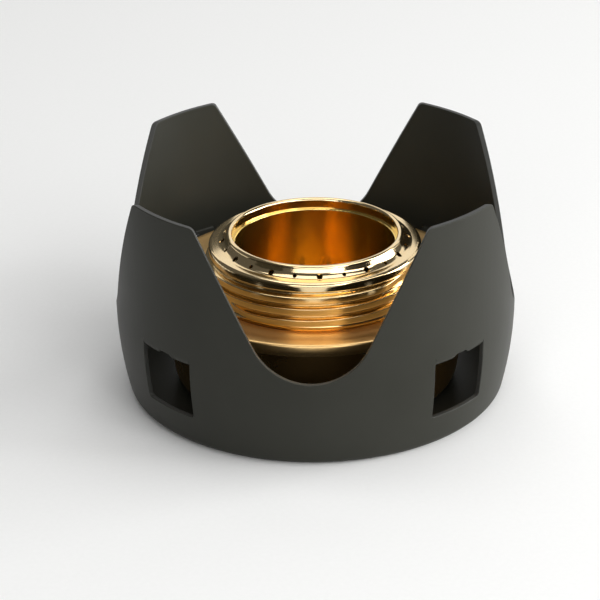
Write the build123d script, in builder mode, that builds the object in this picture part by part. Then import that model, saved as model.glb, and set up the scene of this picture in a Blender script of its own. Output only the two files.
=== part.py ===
"""Alcohol spirit stove: a brass double-wall burner standing in a one-piece aluminium pot stand.

Frame: millimetres, +Z up, origin at the centre of the flat base of the pot stand.
The stand has four equal prongs at 45 degrees to the X and Y axes; one notch faces -Y.
"""

import os
from math import atan2, cos, radians, sin, sqrt, tan

from build123d import *

# ---- pot stand: one deep-drawn aluminium bowl ---------------------------------------
stand_radius = 49.0
stand_height = 57.4
sheet = 1.2
base_corner_radius = 2.4
wall_curve_radius = 90.0
wall_curve_top = 22.0

# notches between the prongs, cut straight through the bowl from side to side
prong_angles = (45, 135, 225, 315)
notch_half_width = 26.4
notch_side_angle = 26.0
notch_bottom = 22.1
prong_corner_radius = 1.5

# vents low in the wall under each prong, and the tab bent inwards from each top edge
vent_half_width = 8.15
vent_bottom = 8.5
vent_top = 22.0
vent_corner_radius = 0.8
relief_width = 6.2
relief_top_width = 3.0
relief_height = 1.45
tab_half_angle = 9.4
tab_end_radius = 40.2
bend_inner_radius = 0.6

# ---- burner --------------------------------------------------------------------------
seat_gap = 0.1
burner_base = sheet + seat_gap
brass = 0.7
joint_gap = 0.05

# reservoir cup: tapered wall, rounded foot, dished floor
cup_radius_top = 38.2
cup_radius_foot = 34.7
cup_top = 25.9
foot_corner_radius = 4.0
floor_dish = 0.9
floor_dish_radius = 26.0
floor_dish_slope = 2.0

# threaded collar: dished shoulder that falls towards the neck, seam skirt and rolled thread
shoulder_radius = 39.0
shoulder_rim_width = 0.9
shoulder_top = 27.2
shoulder_foot = 24.6
seam_bottom = 24.3
shoulder_edge_radius = 0.6
neck_root_radius = 25.5
neck_top = 34.3
neck_fillet_radius = 1.1
thread_pitch = 2.95
thread_crest_radius = 26.9
thread_start_angle = 215
thread_start_height = 26.45
thread_turns = 2.31
thread_root_width = 1.9
thread_crest_width = 1.3
thread_root_depth = 0.3

# jet crown: rolled bead, flat ledge, steep jet face and rounded lip
mouth_radius = 20.2
lip_radius = 0.7
lip_centre_height = 38.6
ledge_height = 36.8
ledge_inner_radius = 22.6
face_foot_fillet_radius = 2.0
bead_radius = 26.0
bead_top_radius = 0.9
bead_foot_radius = 0.5
crown_bottom = 34.35
crown_skirt_bottom = 36.75
crown_sheet = 0.65
jet_count = 24
jet_phase = 4.0
jet_radius_from_axis = 22.5
jet_height = 37.2
jet_tilt = 32.0
large_jet = 1.5
small_jet = 1.0

# inner well: a tube with a flanged foot and slots that let fuel through to the wick
well_radius = 20.2
well_top = 36.7
well_edge_radius = 0.3
well_foot_radius = 24.5
fuel_slot_count = 6
fuel_slot_width = 4.0
fuel_slot_height = 3.0

# wick packed between the well and the cup
wick_clearance = 0.2
wick_radius = 30.0
wick_shoulder = 21.0
wick_neck_radius = 24.4
wick_top = 33.5

os.makedirs("parts", exist_ok=True)


def radial_plane(angle):
    """Upright plane through the Z axis: local x runs outwards at this angle, local y runs up."""
    turn = radians(angle)
    return Plane(origin=(0, 0, 0), x_dir=(cos(turn), sin(turn), 0), z_dir=(sin(turn), -cos(turn), 0))


def facing_plane(angle, distance=0):
    """Upright plane that faces outwards at this angle: local x is sideways, local y runs up."""
    turn = radians(angle)
    outwards = Vector(cos(turn), sin(turn), 0)
    return Plane(origin=outwards * distance, x_dir=(-sin(turn), cos(turn), 0), z_dir=outwards)


# ---- pot stand -----------------------------------------------------------------------
def bowl_outline(inset, top):
    """Half section of the filled bowl, set in from the outer skin by inset."""
    curve_x = stand_radius - wall_curve_radius
    reach = wall_curve_radius - base_corner_radius
    drop = wall_curve_top - base_corner_radius
    corner_x = curve_x + sqrt(reach**2 - drop**2)
    lean = atan2(drop, corner_x - curve_x)
    corner = base_corner_radius - inset
    join = (corner_x + corner * cos(lean), base_corner_radius - corner * sin(lean))
    floor_end = (corner_x, inset)
    wall_start = (stand_radius - inset, wall_curve_top)
    with BuildLine() as outline:
        Line((0, inset), floor_end)
        bend = TangentArc(floor_end, join, tangent=(1, 0))
        TangentArc(join, wall_start, tangent=bend % 1)
        Polyline(wall_start, (stand_radius - inset, top), (0, top), (0, inset))
    return outline


def notch_outline():
    """V notch with straight sides and a round bottom, tangent to both sides."""
    side = radians(notch_side_angle)
    depth = stand_height - notch_bottom
    radius = (notch_half_width - tan(side) * depth) * cos(side) / (1 - sin(side))
    centre = notch_bottom + radius
    touch = (radius * cos(side), centre - radius * sin(side))
    above = stand_height + sheet
    mouth = notch_half_width + tan(side) * sheet
    with BuildLine() as outline:
        Line((mouth, above), touch)
        ThreePointArc(touch, (0, notch_bottom), (-touch[0], touch[1]))
        Polyline((-touch[0], touch[1]), (-mouth, above), (mouth, above))
    return outline


def tab_outline():
    """Section of a tab: a stub of wall, the bend, and the flat tab running inwards."""
    inner = stand_radius - sheet
    bend_x = inner - bend_inner_radius
    bend_z = vent_top + sheet + bend_inner_radius
    stub = bend_z + sheet / 2
    diagonal = sqrt(0.5)
    outer_bend = sheet + bend_inner_radius
    outer_mid = (bend_x + outer_bend * diagonal, bend_z - outer_bend * diagonal)
    inner_mid = (bend_x + bend_inner_radius * diagonal, bend_z - bend_inner_radius * diagonal)
    with BuildLine() as outline:
        Line((inner, stub), (stand_radius, stub))
        Line((stand_radius, stub), (stand_radius, bend_z))
        ThreePointArc((stand_radius, bend_z), outer_mid, (bend_x, vent_top))
        Polyline((bend_x, vent_top), (tab_end_radius, vent_top),
                 (tab_end_radius, vent_top + sheet), (bend_x, vent_top + sheet))
        ThreePointArc((bend_x, vent_top + sheet), inner_mid, (inner, bend_z))
        Line((inner, bend_z), (inner, stub))
    return outline


with BuildPart() as pot_stand:
    with BuildSketch(Plane.XZ):
        add(bowl_outline(0, stand_height).line)
        make_face()
    revolve(axis=Axis.Z)
    with BuildSketch(Plane.XZ):
        add(bowl_outline(sheet, stand_height + sheet).line)
        make_face()
    revolve(axis=Axis.Z, mode=Mode.SUBTRACT)
    for upright in (Plane.XZ, Plane.YZ):
        with BuildSketch(upright):
            add(notch_outline().line)
            make_face()
        extrude(amount=stand_radius + sheet, both=True, mode=Mode.SUBTRACT)
    rim = pot_stand.edges().filter_by_position(Axis.Z, stand_height - 0.01, stand_height + 0.01)
    fillet(rim.filter_by(lambda edge: edge.length < 2 * sheet), prong_corner_radius)

    bend_top = vent_top + sheet + bend_inner_radius
    for angle in prong_angles:
        with BuildSketch(facing_plane(angle)):
            with Locations((0, (vent_bottom + bend_top) / 2)):
                RectangleRounded(2 * vent_half_width, bend_top - vent_bottom, vent_corner_radius)
        extrude(amount=stand_radius + sheet, mode=Mode.SUBTRACT)
        with BuildSketch(radial_plane(angle - tab_half_angle)):
            add(tab_outline().line)
            make_face()
        revolve(axis=Axis.Z, revolution_arc=2 * tab_half_angle)
        with BuildSketch(facing_plane(angle, stand_radius - 2 * sheet - bend_inner_radius)):
            with BuildLine():
                Polyline((-relief_width / 2, vent_top - sheet), (-relief_width / 2, vent_top),
                         (-relief_top_width / 2, vent_top + relief_height),
                         (relief_top_width / 2, vent_top + relief_height),
                         (relief_width / 2, vent_top), (relief_width / 2, vent_top - sheet),
                         close=True)
            make_face()
        extrude(amount=4 * sheet, mode=Mode.SUBTRACT)
pot_stand.part.label = "pot_stand"
export_step(pot_stand.part, "parts/pot_stand.step")


# ---- reservoir cup -------------------------------------------------------------------
def cup_outline(inset, top):
    """Half section of the filled cup, set in from the outer skin by inset."""
    taper = atan2(cup_radius_top - cup_radius_foot, cup_top - burner_base)
    corner = foot_corner_radius - inset
    centre_z = burner_base + foot_corner_radius
    wall_at_centre = cup_radius_foot + tan(taper) * foot_corner_radius
    centre_x = wall_at_centre - foot_corner_radius / cos(taper)
    join = (centre_x + corner * cos(taper), centre_z - corner * sin(taper))
    side_top = (join[0] + tan(taper) * (top - join[1]), top)
    dish_top = burner_base + inset + floor_dish
    with BuildLine() as outline:
        Polyline((0, dish_top), (floor_dish_radius, dish_top),
                 (floor_dish_radius + floor_dish_slope, burner_base + inset),
                 (centre_x, burner_base + inset))
        TangentArc((centre_x, burner_base + inset), join, tangent=(1, 0))
        Polyline(join, side_top, (0, top), (0, dish_top))
    return outline


with BuildPart() as reservoir_cup:
    with BuildSketch(Plane.XZ):
        add(cup_outline(0, cup_top).line)
        make_face()
    revolve(axis=Axis.Z)
    with BuildSketch(Plane.XZ):
        add(cup_outline(brass, cup_top + brass).line)
        make_face()
    revolve(axis=Axis.Z, mode=Mode.SUBTRACT)
reservoir_cup.part.label = "reservoir_cup"
export_step(reservoir_cup.part, "parts/reservoir_cup.step")


# ---- threaded collar -----------------------------------------------------------------
def collar_outline():
    """Half section of the collar: seam skirt, dished shoulder and plain neck."""
    skirt_inner = cup_radius_top + joint_gap
    neck_inner = neck_root_radius - brass
    rim_inner = shoulder_radius - shoulder_rim_width
    with BuildLine() as outline:
        Polyline((neck_inner, shoulder_foot - brass), (rim_inner, shoulder_top - brass),
                 (skirt_inner, shoulder_top - brass), (skirt_inner, seam_bottom),
                 (shoulder_radius, seam_bottom), (shoulder_radius, shoulder_top),
                 (rim_inner, shoulder_top), (neck_root_radius, shoulder_foot),
                 (neck_root_radius, neck_top), (neck_inner, neck_top), close=True)
    return outline


with BuildPart() as threaded_collar:
    with BuildSketch(Plane.XZ):
        add(collar_outline().line)
        make_face()
        fillet(vertices().group_by(Axis.X)[-1].sort_by(Axis.Y)[-1], shoulder_edge_radius)
        neck_corner = vertices().sort_by_distance((neck_root_radius, shoulder_foot))[0]
        fillet(neck_corner, neck_fillet_radius)
    revolve(axis=Axis.Z)
    with BuildLine(Plane.XY.rotated((0, 0, thread_start_angle))):
        helix = Helix(thread_pitch, thread_pitch * thread_turns, neck_root_radius - thread_root_depth,
                      center=(0, 0, thread_start_height))
    start = helix @ 0
    thread_depth = thread_crest_radius - neck_root_radius + thread_root_depth
    with BuildSketch(Plane(origin=start, x_dir=(start.X, start.Y, 0), z_dir=helix % 0)):
        with BuildLine():
            Polyline((0, -thread_root_width / 2), (thread_depth, -thread_crest_width / 2),
                     (thread_depth, thread_crest_width / 2), (0, thread_root_width / 2), close=True)
        make_face()
    sweep(path=helix, is_frenet=True)
threaded_collar.part.label = "threaded_collar"
export_step(threaded_collar.part, "parts/threaded_collar.step")


# ---- jet crown -----------------------------------------------------------------------
def crown_outline():
    """Half section of the crown, from the mouth skirt over the lip and ledge to the bead."""
    lip_outer = mouth_radius + 2 * lip_radius
    skirt_outer = mouth_radius + crown_sheet
    ceiling = ledge_height - crown_sheet
    face_top = lip_centre_height - crown_sheet / 2
    bead_start = (bead_radius - bead_top_radius, ledge_height)
    bead_side = (bead_radius, ledge_height - bead_top_radius)
    side_end = (bead_radius, crown_bottom + bead_foot_radius)
    with BuildLine() as outline:
        Line((mouth_radius, crown_skirt_bottom), (mouth_radius, lip_centre_height))
        ThreePointArc((mouth_radius, lip_centre_height),
                      (mouth_radius + lip_radius, lip_centre_height + lip_radius),
                      (lip_outer, lip_centre_height))
        Polyline((lip_outer, lip_centre_height), (ledge_inner_radius, ledge_height), bead_start)
        TangentArc(bead_start, bead_side, tangent=(1, 0))
        Line(bead_side, side_end)
        foot = TangentArc(side_end, (bead_radius - bead_foot_radius, crown_bottom), tangent=(0, -1))
        Polyline(foot @ 1, (neck_root_radius - brass, crown_bottom),
                 (neck_root_radius - brass, ceiling), (ledge_inner_radius - crown_sheet / 2, ceiling),
                 (skirt_outer, face_top), (skirt_outer, crown_skirt_bottom),
                 (mouth_radius, crown_skirt_bottom))
    return outline


with BuildPart() as jet_crown:
    with BuildSketch(Plane.XZ):
        add(crown_outline().line)
        make_face()
        fillet(vertices().sort_by_distance((ledge_inner_radius, ledge_height))[0], face_foot_fillet_radius)
    revolve(axis=Axis.Z)
    tilt = radians(jet_tilt)
    for index in range(jet_count):
        turn = radians(jet_phase - 90 + index * 360 / jet_count)
        spot = Vector(cos(turn), sin(turn), 0) * jet_radius_from_axis + Vector(0, 0, jet_height)
        drill = Vector(cos(turn) * cos(tilt), sin(turn) * cos(tilt), sin(tilt))
        with BuildSketch(Plane(origin=spot, z_dir=drill)):
            Circle((large_jet if index % 2 == 0 else small_jet) / 2)
        extrude(amount=2 * crown_sheet, both=True, mode=Mode.SUBTRACT)
jet_crown.part.label = "jet_crown"
export_step(jet_crown.part, "parts/jet_crown.step")


# ---- inner well ----------------------------------------------------------------------
well_bottom = burner_base + brass + floor_dish + joint_gap
well_inner_radius = well_radius - brass

with BuildPart() as inner_well:
    with BuildSketch(Plane.XZ):
        with BuildLine():
            Polyline((well_inner_radius, well_bottom), (well_foot_radius, well_bottom),
                     (well_foot_radius, well_bottom + brass), (well_radius, well_bottom + brass),
                     (well_radius, well_top), (well_inner_radius, well_top), close=True)
        make_face()
        fillet(vertices().sort_by_distance((well_inner_radius, well_top))[0], well_edge_radius)
    revolve(axis=Axis.Z)
    for index in range(fuel_slot_count):
        with BuildSketch(facing_plane(index * 360 / fuel_slot_count)):
            with Locations((0, well_bottom + fuel_slot_height / 2)):
                Rectangle(fuel_slot_width, fuel_slot_height)
        extrude(amount=well_foot_radius + brass, mode=Mode.SUBTRACT)
inner_well.part.label = "inner_well"
export_step(inner_well.part, "parts/inner_well.step")


# ---- wick ----------------------------------------------------------------------------
wick_bottom = well_bottom + brass + joint_gap
wick_inner_radius = well_radius + wick_clearance

with BuildPart() as wick_packing:
    with BuildSketch(Plane.XZ):
        with BuildLine():
            Polyline((wick_inner_radius, wick_bottom), (wick_radius, wick_bottom),
                     (wick_radius, wick_shoulder), (wick_neck_radius, wick_shoulder),
                     (wick_neck_radius, wick_top), (wick_inner_radius, wick_top), close=True)
        make_face()
    revolve(axis=Axis.Z)
wick_packing.part.label = "wick_packing"
export_step(wick_packing.part, "parts/wick_packing.step")
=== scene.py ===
"""Looks of the alcohol spirit stove: a brass burner in a dark anodised aluminium pot stand.

The pieces' lengths are millimetres until a vertex is made; MM turns them into the frame's metres.
"""

from math import asin, atan2, ceil, cos, hypot, pi, radians, sin, sqrt, tan

import bmesh
import bpy
from mathutils import Matrix, Vector


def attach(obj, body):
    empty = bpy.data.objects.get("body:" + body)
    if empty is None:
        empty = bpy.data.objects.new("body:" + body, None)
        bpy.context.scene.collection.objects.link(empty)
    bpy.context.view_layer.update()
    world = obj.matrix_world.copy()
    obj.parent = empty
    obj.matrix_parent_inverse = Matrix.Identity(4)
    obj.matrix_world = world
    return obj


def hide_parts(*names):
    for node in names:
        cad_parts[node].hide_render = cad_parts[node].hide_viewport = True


MM = 0.001

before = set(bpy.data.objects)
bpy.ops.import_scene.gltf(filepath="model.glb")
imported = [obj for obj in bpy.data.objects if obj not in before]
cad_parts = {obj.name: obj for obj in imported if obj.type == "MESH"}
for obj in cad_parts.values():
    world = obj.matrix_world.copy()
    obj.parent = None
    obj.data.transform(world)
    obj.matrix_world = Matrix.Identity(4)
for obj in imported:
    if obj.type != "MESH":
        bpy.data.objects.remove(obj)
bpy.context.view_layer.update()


# ---- node helpers --------------------------------------------------------------------
def add_node(tree, kind, values=None, **settings):
    """Adds a shader node, sets its properties, and fills or links its inputs."""
    node = tree.nodes.new("ShaderNode" + kind)
    for key, value in settings.items():
        setattr(node, key, value)
    for key, value in (values or {}).items():
        if isinstance(value, bpy.types.NodeSocket):
            tree.links.new(value, node.inputs[key])
        else:
            node.inputs[key].default_value = value
    return node


def start_material(name, **principled):
    """A material with a Principled BSDF whose even values sit on its own sockets."""
    material = bpy.data.materials.new(name)
    material.use_nodes = True
    tree = material.node_tree
    shader = tree.nodes["Principled BSDF"]
    for key, value in principled.items():
        shader.inputs[key.replace("_", " ")].default_value = value
    return material, tree, shader


def object_position(tree):
    """The point on the surface, in metres, in the piece's own axes."""
    return add_node(tree, "TexCoord").outputs["Object"]


def turned_position(tree, sideways=0.0):
    """Coordinates that follow lathe work: distance from the axis, a little of the angle, height."""
    parts = add_node(tree, "SeparateXYZ", {0: object_position(tree)}).outputs
    squares = add_node(tree, "Math", {0: parts["X"], 1: parts["X"]}, operation="MULTIPLY")
    total = add_node(tree, "Math", {0: parts["Y"], 1: parts["Y"], 2: squares.outputs[0]},
                     operation="MULTIPLY_ADD")
    radius = add_node(tree, "Math", {0: total.outputs[0]}, operation="SQRT")
    side = add_node(tree, "Math", {0: parts["X"], 1: sideways}, operation="MULTIPLY")
    along = add_node(tree, "CombineXYZ", {0: radius.outputs[0], 1: side.outputs[0], 2: parts["Z"]})
    return along.outputs[0]


def blend_colour(tree, factor, first, second):
    """Goes from the first colour to the second with the factor."""
    mix = add_node(tree, "Mix", {"Factor": factor}, data_type="RGBA")
    mix.inputs[6].default_value = (*first, 1)
    mix.inputs[7].default_value = (*second, 1)
    return mix.outputs[2]


def spread(tree, value, low, high):
    """Maps noise, which stays near 0.5, onto a range."""
    limits = {0: value, 1: 0.3, 2: 0.7, 3: low, 4: high}
    return add_node(tree, "MapRange", limits).outputs[0]


def bump(tree, height, depth, below=None):
    """Bump of a real depth in millimetres, laid over another bump's normal."""
    values = {"Height": height, "Distance": depth * MM, "Strength": 1.0}
    if below:
        values["Normal"] = below
    return add_node(tree, "Bump", values).outputs[0]


# ---- materials -----------------------------------------------------------------------
def anodised_aluminium(name, dark, light, roughness):
    """Dyed anodised sheet: fine bead-blasted grain with cloudy changes of shade and gloss."""
    material, tree, shader = start_material(name, Metallic=0.0, Specular_IOR_Level=0.2)
    here = object_position(tree)
    cloud = add_node(tree, "TexNoise", {"Vector": here, "Scale": 60.0, "Detail": 3.0}).outputs[0]
    grain = add_node(tree, "TexNoise", {"Vector": here, "Scale": 5200.0, "Detail": 2.0}).outputs[0]
    pits = add_node(tree, "TexNoise", {"Vector": here, "Scale": 1500.0, "Detail": 2.0}).outputs[0]
    colour = blend_colour(tree, spread(tree, cloud, 0.0, 1.0), dark, light)
    tree.links.new(colour, shader.inputs["Base Color"])
    gloss = spread(tree, cloud, roughness - 0.03, roughness + 0.03)
    tree.links.new(gloss, shader.inputs["Roughness"])
    normal = bump(tree, grain, 0.006, bump(tree, pits, 0.008))
    tree.links.new(normal, shader.inputs["Normal"])
    return material


def turned_brass(name, clean, aged, roughness, line_scale, line_depth):
    """Brass with lathe or polishing lines that run round the burner's axis."""
    material, tree, shader = start_material(name, Metallic=1.0)
    here = object_position(tree)
    turned = turned_position(tree, 0.02)
    lines = add_node(tree, "TexNoise", {"Vector": turned, "Scale": line_scale, "Detail": 4.0}).outputs[0]
    smear = add_node(tree, "TexNoise", {"Vector": here, "Scale": 130.0, "Detail": 4.0}).outputs[0]
    bands = add_node(tree, "TexNoise", {"Vector": turned, "Scale": line_scale / 6, "Detail": 2.0}).outputs[0]
    colour = blend_colour(tree, spread(tree, smear, 0.0, 0.6), clean, aged)
    tree.links.new(colour, shader.inputs["Base Color"])
    gloss = spread(tree, bands, roughness * 0.8, roughness * 1.25)
    tree.links.new(gloss, shader.inputs["Roughness"])
    tree.links.new(bump(tree, lines, line_depth), shader.inputs["Normal"])
    return material


def drawn_brass(name, clean, aged, roughness):
    """Deep-drawn brass: faint upright draw marks and cloudy tarnish."""
    material, tree, shader = start_material(name, Metallic=1.0)
    here = object_position(tree)
    stretch = add_node(tree, "Mapping", {"Vector": here, "Scale": (1.0, 1.0, 0.05)}).outputs[0]
    draw = add_node(tree, "TexNoise", {"Vector": stretch, "Scale": 1400.0, "Detail": 3.0}).outputs[0]
    cloud = add_node(tree, "TexNoise", {"Vector": here, "Scale": 90.0, "Detail": 5.0}).outputs[0]
    colour = blend_colour(tree, spread(tree, cloud, 0.0, 1.0), clean, aged)
    tree.links.new(colour, shader.inputs["Base Color"])
    tree.links.new(spread(tree, cloud, roughness * 0.8, roughness * 1.3), shader.inputs["Roughness"])
    tree.links.new(bump(tree, draw, 0.004), shader.inputs["Normal"])
    return material


def packed_cotton(name):
    """Off-white cotton with fine crossing fibres."""
    material, tree, shader = start_material(name, Roughness=0.95)
    here = object_position(tree)
    fibre = add_node(tree, "TexNoise", {"Vector": here, "Scale": 900.0, "Detail": 6.0,
                                        "Distortion": 2.5}).outputs[0]
    tuft = add_node(tree, "TexVoronoi", {"Vector": here, "Scale": 260.0}).outputs[0]
    colour = blend_colour(tree, spread(tree, fibre, 0.0, 1.0), (0.62, 0.56, 0.44), (0.86, 0.82, 0.72))
    tree.links.new(colour, shader.inputs["Base Color"])
    normal = bump(tree, fibre, 0.15, bump(tree, tuft, 0.3))
    tree.links.new(normal, shader.inputs["Normal"])
    return material


def pale_paper(name):
    """Studio floor: matt off-white paper with a faint tooth."""
    material, tree, shader = start_material(name, Roughness=0.9)
    here = object_position(tree)
    tooth = add_node(tree, "TexNoise", {"Vector": here, "Scale": 900.0, "Detail": 3.0}).outputs[0]
    colour = blend_colour(tree, tooth, (0.86, 0.86, 0.85), (0.90, 0.90, 0.89))
    tree.links.new(colour, shader.inputs["Base Color"])
    tree.links.new(bump(tree, tooth, 0.02), shader.inputs["Normal"])
    return material


# the skin is dyed dark; the cut edges are the same skin, given a paler colour as a painted highlight where
# they face up to the light
stand_skin = anodised_aluminium("anodised_skin", (0.0225, 0.0228, 0.0172), (0.0270, 0.0273, 0.0212), 0.46)
stand_edge_painted_highlight = anodised_aluminium("anodised_cut_edge_painted_highlight", (0.035, 0.036, 0.033), (0.05, 0.05, 0.046), 0.38)
# clean and aged colours, roughness, and the scale and depth in millimetres of the turning lines
crown_brass = turned_brass(
    "polished_brass", (0.92, 0.72, 0.42), (0.86, 0.64, 0.34), 0.11, 2600.0, 0.0006)
collar_brass = turned_brass(
    "brushed_brass", (0.90, 0.67, 0.35), (0.82, 0.58, 0.27), 0.14, 3200.0, 0.001)
shoulder_brass = turned_brass(
    "spun_shoulder_brass", (0.93, 0.63, 0.28), (0.83, 0.52, 0.20), 0.38, 2400.0, 0.012)
shell_brass = drawn_brass("drawn_brass", (0.78, 0.50, 0.20), (0.60, 0.36, 0.13), 0.28)
well_brass = drawn_brass("well_brass", (0.93, 0.70, 0.23), (0.87, 0.62, 0.19), 0.15)
cotton = packed_cotton("cotton_wick")
paper = pale_paper("studio_floor")


# ---- mesh helpers --------------------------------------------------------------------
def finish_piece(name, mesh_data, body, node, materials, smooth_angle=30):
    """Turns a bmesh into a smooth-shaded piece that rides on its body in place of a CAD node."""
    bmesh.ops.recalc_face_normals(mesh_data, faces=mesh_data.faces)
    mesh = bpy.data.meshes.new(name)
    mesh_data.to_mesh(mesh)
    mesh_data.free()
    mesh.shade_smooth()
    mesh.set_sharp_from_angle(angle=radians(smooth_angle))
    for material in materials:
        mesh.materials.append(material)
    piece = bpy.data.objects.new(name, mesh)
    bpy.context.scene.collection.objects.link(piece)
    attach(piece, body)
    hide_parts(node)
    return piece


def bridge_rings(work, rings):
    """Closes a list of rings into one tube that comes back to its first ring."""
    count = len(rings[0])
    for ring, following in zip(rings, rings[1:] + rings[:1]):
        for number in range(count):
            other = (number + 1) % count
            work.faces.new((ring[number], ring[other], following[other], following[number]))


def apply_modifiers(piece):
    """Bakes the piece's modifiers into its mesh."""
    graph = bpy.context.evaluated_depsgraph_get()
    mesh = bpy.data.meshes.new_from_object(piece.evaluated_get(graph))
    piece.modifiers.clear()
    piece.data = mesh


# ---- pot stand -----------------------------------------------------------------------
STAND_R = 49.0
STAND_TOP = 57.4
SHEET = 1.2
BASE_CORNER = 2.4
WALL_CURVE = 90.0
WALL_CURVE_TOP = 22.0
NOTCH_HALF = 26.4
NOTCH_SIDE = radians(26)
NOTCH_BOTTOM = 22.1
PRONG_CORNER = 1.5
VENT_HALF = 8.15
VENT_BOTTOM = 8.5
VENT_CORNER = 0.8
TAB_UNDER = 22.0
TAB_MIDDLE = 43.2
TAB_END = 40.2
BEND_INNER = 0.6
BEND_OUTER = BEND_INNER + SHEET
BEND_TOP = TAB_UNDER + BEND_OUTER
BEND_CENTRE_R = STAND_R - BEND_OUTER
RELIEF_HALF = 3.1
RELIEF_TOP_HALF = 1.5
RELIEF_TOP = TAB_UNDER + 1.45
RELIEF_END = 46.0
TAB_LEAD = 1.5
RIM_LEAST = 1.0
RIM_SUPPORT = 0.5
CUT_INSET = 0.45
EDGE_ROUND = 0.16


def wall_radius(z, skin):
    """Radius of the outer (0) or inner (1) skin of the wall at a height."""
    if z >= WALL_CURVE_TOP:
        return STAND_R - SHEET * skin
    reach = WALL_CURVE - SHEET * skin
    return STAND_R - WALL_CURVE + sqrt(reach**2 - (WALL_CURVE_TOP - z) ** 2)


def notch_shape():
    """Radius of the round notch bottom, and where it meets the straight side."""
    depth = STAND_TOP - NOTCH_BOTTOM
    radius = (NOTCH_HALF - tan(NOTCH_SIDE) * depth) * cos(NOTCH_SIDE) / (1 - sin(NOTCH_SIDE))
    return radius, radius * cos(NOTCH_SIDE)


NOTCH_R, NOTCH_TOUCH = notch_shape()
CORNER_REACH = PRONG_CORNER * tan((pi / 2 - NOTCH_SIDE) / 2)
CORNER_START = NOTCH_HALF - CORNER_REACH * sin(NOTCH_SIDE)
CORNER_END = NOTCH_HALF + CORNER_REACH


def wall_top(x):
    """Height of the cut edge at a sideways distance from the middle of a notch."""
    if x <= NOTCH_TOUCH:
        return NOTCH_BOTTOM + NOTCH_R - sqrt(NOTCH_R**2 - x**2)
    if x <= CORNER_START:
        return STAND_TOP - (NOTCH_HALF - x) / tan(NOTCH_SIDE)
    if x < CORNER_END:
        return STAND_TOP - PRONG_CORNER + sqrt(PRONG_CORNER**2 - (CORNER_END - x) ** 2)
    return STAND_TOP


def even_steps(start, end, count):
    """Even steps after the start, up to and including the end."""
    return [start + (end - start) * step / count for step in range(1, count + 1)]


def half_sector():
    """Columns from a notch's middle to a prong's middle.

    Each holds its distance from the notch, its distance from the vent or None, and both skins' angles.
    """
    notch_x = [0.0]
    notch_x += [NOTCH_R * sin(a) for a in even_steps(0, pi / 2 - NOTCH_SIDE, 14)]
    notch_x += even_steps(NOTCH_TOUCH, CORNER_START, 16)
    swing = pi / 2 - NOTCH_SIDE
    notch_x += [CORNER_END - PRONG_CORNER * sin(swing - a) for a in even_steps(0, swing, 6)]
    inner_r = STAND_R - SHEET
    columns = [(x, None, asin(x / STAND_R), asin(x / inner_r)) for x in notch_x]
    vent_side = [pi / 4 - asin(VENT_HALF / r) for r in (STAND_R, inner_r)]
    last = columns[-1]
    middle = [(last[2] + vent_side[0]) / 2, (last[3] + vent_side[1]) / 2]
    columns.append((STAND_R * sin(middle[0]), None, *middle))
    vent_x = [VENT_HALF]
    vent_x += [VENT_HALF - VENT_CORNER * (1 - cos(a)) for a in even_steps(0, pi / 2, 4)]
    vent_x += even_steps(VENT_HALF - VENT_CORNER, RELIEF_HALF, 5)
    vent_x += even_steps(RELIEF_HALF, RELIEF_TOP_HALF, 4)
    vent_x += even_steps(RELIEF_TOP_HALF, 0.0, 2)
    for x in vent_x:
        columns.append((STAND_R, x, pi / 4 - asin(x / STAND_R), pi / 4 - asin(x / inner_r)))
    return columns


def base_stations():
    """Both skins' (radius, height) from the floor's middle, round the base corner, up to the wall."""
    curve_x = STAND_R - WALL_CURVE
    drop = WALL_CURVE_TOP - BASE_CORNER
    corner_x = curve_x + sqrt((WALL_CURVE - BASE_CORNER) ** 2 - drop**2)
    lean = atan2(drop, corner_x - curve_x)
    stations = [((corner_x * part, 0.0), (corner_x * part, SHEET)) for part in (0.2, 0.45, 0.7, 0.88, 1.0)]
    for turn in even_steps(-pi / 2, -lean, 8):
        stations.append(tuple((corner_x + (BASE_CORNER - inset) * cos(turn),
                               BASE_CORNER + (BASE_CORNER - inset) * sin(turn)) for inset in (0, SHEET)))
    return stations


def bend_point(path, skin):
    """(radius, height) of a skin at a distance along the sheet below the start of the tab's bend."""
    arc = BEND_OUTER * pi / 2
    bend_r = BEND_OUTER - SHEET * skin
    if path <= 0:
        return BEND_CENTRE_R + bend_r, BEND_TOP - path
    if path <= arc:
        turn = path / BEND_OUTER
        return BEND_CENTRE_R + bend_r * cos(turn), BEND_TOP - bend_r * sin(turn)
    return BEND_CENTRE_R - (path - arc), TAB_UNDER + SHEET * skin


def tab_rows(vent_x):
    """Distances along the sheet of the tab's rows in one column, down to the relief or the bend's end."""
    arc = BEND_OUTER * pi / 2
    if vent_x >= RELIEF_HALF:
        return [arc * step / 6 for step in range(7)]
    slope = max(0.0, (vent_x - RELIEF_TOP_HALF) / (RELIEF_HALF - RELIEF_TOP_HALF))
    edge = RELIEF_TOP - (RELIEF_TOP - TAB_UNDER) * slope
    start = -TAB_LEAD * (1 - slope)
    end = BEND_OUTER * asin(min(1.0, (BEND_TOP - edge) / BEND_OUTER))
    return [start + (end - start) * step / 6 for step in range(7)]


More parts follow.
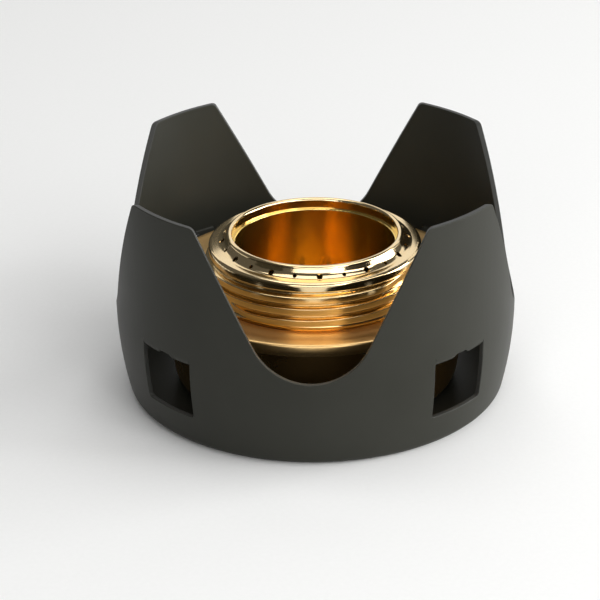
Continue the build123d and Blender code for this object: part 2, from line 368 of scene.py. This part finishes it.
def column_points(column):
    """Every row of one column, as {row name: ((radius, height) outside, (radius, height) inside)}."""
    notch_x, vent_x = column[:2]
    base = base_stations()
    rows = {("base", number): pair for number, pair in enumerate(base)}
    low = base[-1][0][1]
    in_vent = vent_x is not None
    sill = VENT_BOTTOM + VENT_CORNER
    if in_vent and vent_x > VENT_HALF - VENT_CORNER:
        dip = VENT_CORNER - (VENT_HALF - vent_x)
        sill = VENT_BOTTOM + VENT_CORNER - sqrt(VENT_CORNER**2 - dip**2)
    elif in_vent:
        sill = VENT_BOTTOM
    for number, z in enumerate(even_steps(low, sill, 3)):
        rows["low", number] = tuple((wall_radius(z, skin), z) for skin in (0, 1))
    top = wall_top(notch_x)
    line = min(BEND_TOP, top - RIM_LEAST)
    if in_vent:
        line = BEND_TOP - tab_rows(vent_x)[0]
    if not in_vent or vent_x == VENT_HALF:
        for number, z in enumerate(even_steps(sill, line, 6)[:-1]):
            rows["side", number] = tuple((wall_radius(z, skin), z) for skin in (0, 1))
    slope = hypot(1, 1 / tan(NOTCH_SIDE)) if NOTCH_TOUCH < notch_x < CORNER_START else 1.0
    inset = min(CUT_INSET * slope, (top - line) / 2)
    support = min(line + RIM_SUPPORT, (line + top - inset) / 2)
    for number, z in enumerate((line, support, (support + top - inset) / 2, top - inset, top)):
        rows["high", number] = tuple((wall_radius(z, skin), z) for skin in (0, 1))
    if in_vent:
        for number, path in enumerate(tab_rows(vent_x)[1:]):
            rows["bend", number] = tuple(bend_point(path, skin) for skin in (0, 1))
        for number, radius in enumerate((RELIEF_END, TAB_MIDDLE, TAB_END + CUT_INSET, TAB_END)):
            rows["tab", number] = ((radius, TAB_UNDER), (radius, TAB_UNDER + SHEET))
    return rows


# runs of rows that are filled with cells, from the floor's middle up, then down into the tab
ROW_RUNS = {
    "floor": [("base", n) for n in range(13)] + [("low", n) for n in range(3)],
    "side": [("low", 2)] + [("side", n) for n in range(5)] + [("high", 0)],
    "rim": [("high", n) for n in range(5)],
    "bend": [("high", 0)] + [("bend", n) for n in range(6)],
    "relief": [("bend", 5), ("tab", 0)],
    "tab": [("tab", n) for n in range(4)],
}


def stand_columns():
    """The columns of all four quarters, their skins' angles turned into place."""
    half = half_sector()
    sector = [(c[0], c[1], -c[2], -c[3]) for c in reversed(half[1:])] + half[:-1]
    columns = []
    for quarter in range(4):
        turn = quarter * pi / 2 - pi / 2
        for notch_x, vent_x, outer, inner in sector:
            columns.append((notch_x, vent_x, turn + outer, turn + inner))
    return columns


def is_cut_out(run_name, in_opening, in_relief):
    """Whether a run has no metal between two columns."""
    if run_name == "side":
        return in_opening
    if run_name == "relief" and in_relief:
        return True
    return run_name in ("bend", "relief", "tab") and not in_opening


def stand_cells(columns):
    """Cells of metal between neighbouring columns, each as four (column, row) keys."""
    cells = []
    for number in range(len(columns)):
        other = (number + 1) % len(columns)
        from_vent = (columns[number][1], columns[other][1])
        in_opening = None not in from_vent
        in_relief = in_opening and max(from_vent) <= RELIEF_HALF
        for run_name, run in ROW_RUNS.items():
            if is_cut_out(run_name, in_opening, in_relief):
                continue
            for low, high in zip(run, run[1:]):
                cells.append(((number, low), (other, low), (other, high), (number, high)))
    return cells


def skin_vertices(work, columns):
    """Vertices of the outer (0) and inner (1) skin, as {(column, row): vertex} each."""
    verts = ({}, {})
    for number, column in enumerate(columns):
        for row, pair in column_points(column).items():
            for skin in (0, 1):
                radius, z = pair[skin]
                angle = column[2 + skin] if row[0] != "base" else column[2]
                spot = Vector((radius * cos(angle), radius * sin(angle), z)) * MM
                verts[skin][number, row] = work.verts.new(spot)
    return verts


def round_edges(piece):
    """Rounds the cut edges a little and keeps the sheet's faces evenly shaded."""
    rounding = piece.modifiers.new("edge_round", "BEVEL")
    rounding.width = EDGE_ROUND * MM
    rounding.segments = 2
    rounding.limit_method = "ANGLE"
    rounding.angle_limit = radians(35)
    rounding.use_clamp_overlap = False
    weighting = piece.modifiers.new("even_shading", "WEIGHTED_NORMAL")
    weighting.keep_sharp = True
    apply_modifiers(piece)


def build_stand():
    """The drawn bowl as two skins joined along every cut edge."""
    columns = stand_columns()
    work = bmesh.new()
    poles = [work.verts.new((0, 0, z * MM)) for z in (0.0, SHEET)]
    verts = skin_vertices(work, columns)
    edges = {}
    for cell in stand_cells(columns):
        for start, end in zip(cell, cell[1:] + cell[:1]):
            edges.setdefault(frozenset((start, end)), []).append((start, end))
        work.faces.new([verts[0][key] for key in cell])
        work.faces.new([verts[1][key] for key in reversed(cell)])
    first = ("base", 0)
    for number in range(len(columns)):
        other = (number + 1) % len(columns)
        work.faces.new((poles[0], verts[0][other, first], verts[0][number, first]))
        work.faces.new((poles[1], verts[1][number, first], verts[1][other, first]))
    for uses in edges.values():
        start, end = uses[0]
        if len(uses) == 1 and first not in (start[1], end[1]):
            cut = work.faces.new((verts[0][end], verts[0][start], verts[1][start], verts[1][end]))
            # the cut faces take the paler material: a painted highlight, not a different metal
            cut.material_index = 1
    round_edges(finish_piece("pot_stand_shell", work, "stand", "pot_stand",
                             (stand_skin, stand_edge_painted_highlight)))


build_stand()


# ---- threaded collar -----------------------------------------------------------------
COLLAR_R = 39.0
COLLAR_RIM = 0.9
COLLAR_TOP = 27.2
COLLAR_FOOT = 24.6
COLLAR_SKIRT = 24.3
COLLAR_SHEET = 0.7
COLLAR_EDGE = 0.6
CUP_GAP_R = 38.25
NECK_R = 25.5
NECK_TOP = 34.3
NECK_FILLET = 1.1
THREAD_R = 26.9
THREAD_PITCH = 2.95
THREAD_START = radians(215)
THREAD_START_Z = 26.45
THREAD_TURNS = 2.31
THREAD_CREST_HALF = 0.70
THREAD_FLANK = 0.55
THREAD_RUNOUT = radians(22)
THREAD_TOP_FADE = 0.3
INNER_RING = 30.0
SKIRT_CHAMFER = 0.1
COLLAR_COLUMNS = 288
NECK_ROWS = 110
BRUSHED_FROM = NECK_R + 1.5


def smooth_step(value):
    """Eases from 0 to 1 while the value goes from 0 to 1."""
    value = min(1.0, max(0.0, value))
    return value * value * (3 - 2 * value)


def thread_height(angle, z):
    """How far the rolled thread stands out of the neck at an angle and height."""
    height = 0.0
    total = THREAD_TURNS * 2 * pi
    for turn in range(ceil(THREAD_TURNS)):
        swept = (angle - THREAD_START) % (2 * pi) + turn * 2 * pi
        if swept > total:
            continue
        middle = THREAD_START_Z + THREAD_PITCH * swept / (2 * pi)
        ends = smooth_step(min(swept, total - swept) / THREAD_RUNOUT)
        flank = smooth_step((THREAD_CREST_HALF + THREAD_FLANK - abs(z - middle)) / THREAD_FLANK)
        height = max(height, (THREAD_R - NECK_R) * flank * ends)
    return height


def collar_profile():
    """Closed half section, from the inside of the neck down, round the skirt and up to the neck's foot."""
    rim_inner = COLLAR_R - COLLAR_RIM
    inner = NECK_R - COLLAR_SHEET
    plate_foot = COLLAR_FOOT - COLLAR_SHEET
    rise = COLLAR_TOP - COLLAR_FOOT
    slope = atan2(rise, rim_inner - NECK_R)
    reach = NECK_FILLET / tan((pi / 2 - slope) / 2)
    foot_r = NECK_R + reach * cos(slope)
    foot_z = COLLAR_FOOT + reach * sin(slope)
    points = [(inner, NECK_TOP), (inner, INNER_RING), (inner, plate_foot)]
    for part in (0.33, 0.66, 1.0):
        points.append((inner + (rim_inner - inner) * part, plate_foot + rise * part))
    points += [(CUP_GAP_R, COLLAR_TOP - COLLAR_SHEET),
               (CUP_GAP_R, COLLAR_SKIRT + SKIRT_CHAMFER),
               (CUP_GAP_R + SKIRT_CHAMFER, COLLAR_SKIRT),
               (COLLAR_R - SKIRT_CHAMFER, COLLAR_SKIRT),
               (COLLAR_R, COLLAR_SKIRT + SKIRT_CHAMFER),
               (COLLAR_R, COLLAR_TOP - COLLAR_EDGE)]
    for turn in even_steps(0, pi / 2, 6):
        points.append((COLLAR_R - COLLAR_EDGE * (1 - cos(turn)),
                       COLLAR_TOP - COLLAR_EDGE * (1 - sin(turn))))
    for part in (0.05, 0.3, 0.6, 0.95, 1.0):
        points.append((rim_inner + (foot_r - rim_inner) * part,
                       COLLAR_TOP + (foot_z - COLLAR_TOP) * part))
    for turn in even_steps(-pi / 2 + slope, -pi, 8):
        points.append((NECK_R + NECK_FILLET * (1 + cos(turn)),
                       COLLAR_FOOT + reach + NECK_FILLET * sin(turn)))
    return points


def collar_ring(work, z, radius_at):
    """One ring of vertices at a height, each at the radius given for its angle."""
    ring = []
    for number in range(COLLAR_COLUMNS):
        angle = 2 * pi * number / COLLAR_COLUMNS
        radius = radius_at(angle)
        ring.append(work.verts.new((radius * cos(angle) * MM, radius * sin(angle) * MM, z * MM)))
    return ring


def build_collar():
    """The shoulder plate and neck as rings, with the rolled thread pushed out of the neck's rings."""
    points = collar_profile()
    work = bmesh.new()
    rings = [collar_ring(work, z, lambda angle: radius) for radius, z in points]
    for z in even_steps(points[-1][1], NECK_TOP, NECK_ROWS):
        fade = smooth_step((NECK_TOP - z) / THREAD_TOP_FADE)
        rings.append(collar_ring(work, z, lambda angle: NECK_R + thread_height(angle, z) * fade))
    bridge_rings(work, rings)
    piece = finish_piece("threaded_collar_shell", work, "burner", "threaded_collar",
                         (collar_brass, shoulder_brass), smooth_angle=50)
    for face in piece.data.polygons:
        across = hypot(face.center.x, face.center.y) / MM
        if across > BRUSHED_FROM and face.center.z / MM > COLLAR_FOOT:
            face.material_index = 1


build_collar()


# ---- materials of the CAD nodes that stay --------------------------------------------
for node_name, material in (("jet_crown", crown_brass), ("reservoir_cup", shell_brass),
                            ("inner_well", well_brass), ("wick_packing", cotton)):
    node_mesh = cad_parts[node_name].data
    for index in range(len(node_mesh.materials)):
        node_mesh.materials[index] = material


# ---- studio --------------------------------------------------------------------------
# the studio's lengths are metres
FLOOR_HALF = 3.0
FLOOR_DROP = 0.0001
LIT_POINT = Vector((0, 0, 0.03))
CAMERA_PLACE = Vector((0.01134, -0.48251, 0.24859))
CAMERA_LOOK = Vector((-0.02840, 0.90370, -0.42720)).normalized()
CAMERA_LEVEL = Vector((0.99951, 0.03141, 0.0)).normalized()
CAMERA_ROLL = radians(-0.81)
SENSOR_MM = 36.0
LENS_MM = 129.5
WORLD_STRENGTH = 0.1


def build_floor():
    """Plain pale floor just below the stand's base."""
    work = bmesh.new()
    bmesh.ops.create_grid(work, x_segments=8, y_segments=8, size=FLOOR_HALF)
    mesh = bpy.data.meshes.new("floor")
    work.to_mesh(mesh)
    work.free()
    mesh.materials.append(paper)
    floor = bpy.data.objects.new("floor", mesh)
    floor.location.z = -FLOOR_DROP
    bpy.context.scene.collection.objects.link(floor)


def soft_light(name, place, size, power):
    """A white area light that faces the stove."""
    light = bpy.data.lights.new(name, "AREA")
    light.shape = "RECTANGLE"
    light.size, light.size_y = size
    light.energy = power
    lamp = bpy.data.objects.new(name, light)
    lamp.location = place
    lamp.rotation_euler = (LIT_POINT - Vector(place)).to_track_quat("-Z", "Y").to_euler()
    bpy.context.scene.collection.objects.link(lamp)


def place_camera():
    """Camera at the photograph's viewing angle, with its small roll."""
    up = CAMERA_LEVEL.cross(CAMERA_LOOK)
    x_axis = CAMERA_LEVEL * cos(CAMERA_ROLL) + up * sin(CAMERA_ROLL)
    y_axis = up * cos(CAMERA_ROLL) - CAMERA_LEVEL * sin(CAMERA_ROLL)
    data = bpy.data.cameras.new("camera")
    data.sensor_width = SENSOR_MM
    data.lens = LENS_MM
    data.clip_start = 0.01
    camera = bpy.data.objects.new("camera", data)
    turn = Matrix((x_axis, y_axis, -CAMERA_LOOK)).transposed()
    camera.matrix_world = Matrix.Translation(CAMERA_PLACE) @ turn.to_4x4()
    bpy.context.scene.collection.objects.link(camera)
    bpy.context.scene.camera = camera


def set_world():
    """Faint even fill light, and colours shown as they are."""
    world = bpy.data.worlds.new("studio")
    world.use_nodes = True
    background = world.node_tree.nodes["Background"]
    background.inputs["Color"].default_value = (1, 1, 1, 1)
    background.inputs["Strength"].default_value = WORLD_STRENGTH
    bpy.context.scene.world = world
    bpy.context.scene.view_settings.view_transform = "Standard"


build_floor()
soft_light("front", (0.08, -1.05, 0.50), (1.2, 0.5), 4.4)
soft_light("front_right", (0.80, -0.56, 0.58), (1.05, 0.8), 8.0)
soft_light("right", (1.2, 0.10, 0.34), (0.9, 0.6), 13.0)
soft_light("overhead", (0.0, 0.1, 1.2), (1.0, 1.0), 5.5)
soft_light("back_card", (0.1, 1.2, 0.5), (2.4, 1.0), 6.5)
set_world()
place_camera()
